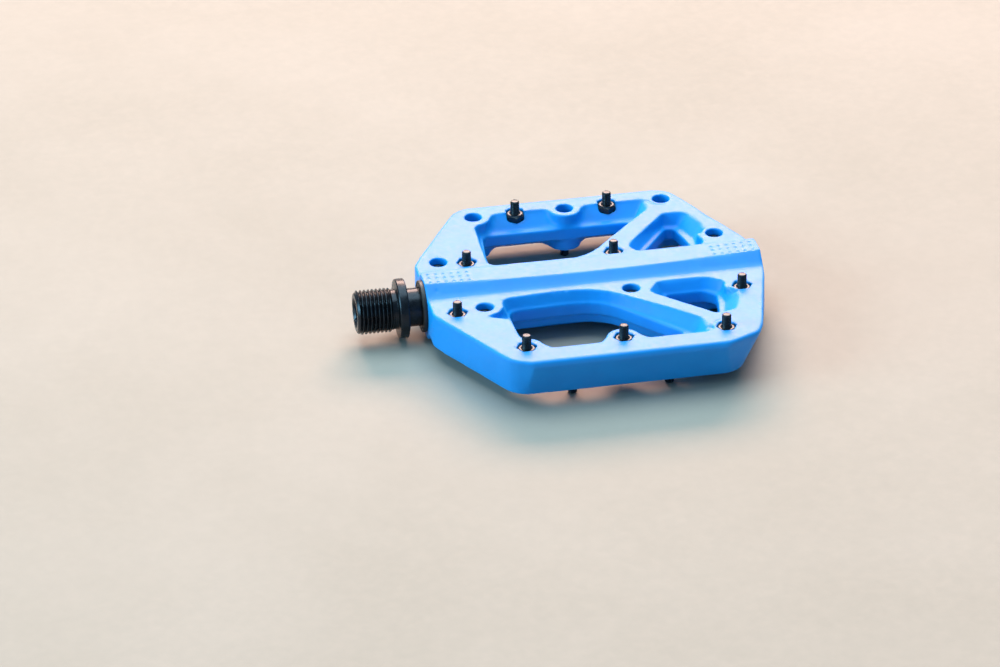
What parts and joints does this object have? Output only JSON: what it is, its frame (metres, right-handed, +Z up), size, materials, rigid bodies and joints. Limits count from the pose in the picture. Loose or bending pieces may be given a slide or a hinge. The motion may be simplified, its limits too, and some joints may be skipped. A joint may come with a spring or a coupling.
{
  "type": "flat bicycle pedal",
  "caption": "Flat platform bicycle pedal with a moulded composite body, large open windows, a central ridge, removable traction pins and a threaded steel spindle it spins on.",
  "frame": {"origin": "on the spindle axis, in the face of the spindle's collar that seats against the crank arm", "axes": "+X along the spindle away from the crank arm, +Y towards the rear edge of the platform, +Z up out of the upper tread"},
  "size_m": [0.1319, 0.1102, 0.0214],
  "materials": {
    "moulded_blue": "satin moulded nylon",
    "black_steel": "black oxide, satin",
    "bright_steel": "ground",
    "seal_rubber": "matt",
    "bushing_plastic": "self-lubricating polymer",
    "cage_plastic": "glass-filled nylon"
  },
  "bodies": {
    "spindle_group": {"spindle": "black_steel", "bearing_inner_ring": "bright_steel", "spindle_washer": "bright_steel", "spindle_lock_nut": "bright_steel"},
    "platform": {"platform_body": "moulded_blue", "inboard_seal": "seal_rubber", "plain_bushing": "bushing_plastic", "bearing_outer_ring": "bright_steel", "bearing_shields": "seal_rubber", "end_cap": "cage_plastic", "end_cap_o_ring": "seal_rubber", "upper_pin_screws": "black_steel", "upper_pin_nuts": "black_steel", "lower_pin_screws": "black_steel", "lower_pin_nuts": "black_steel", "upper_rail_studs": "black_steel", "upper_rail_nuts": "black_steel", "lower_rail_studs": "black_steel", "lower_rail_nuts": "black_steel"},
    "ball_set": {"bearing_balls": "bright_steel", "bearing_cage": "cage_plastic"}
  },
  "joints": [
    {"name": "platform_spin", "type": "hinge", "parent": "spindle_group", "child": "platform", "pos_m": [0.0625, 0, 0], "axis": [1, 0, 0], "continuous": true},
    {"name": "ball_set_spin", "type": "hinge", "parent": "spindle_group", "child": "ball_set", "pos_m": [0.0955, 0, 0], "axis": [1, 0, 0], "continuous": true}
  ],
  "couplings": [
    {"joint": "ball_set_spin", "follows": "platform_spin", "ratio": 0.5952}
  ]
}
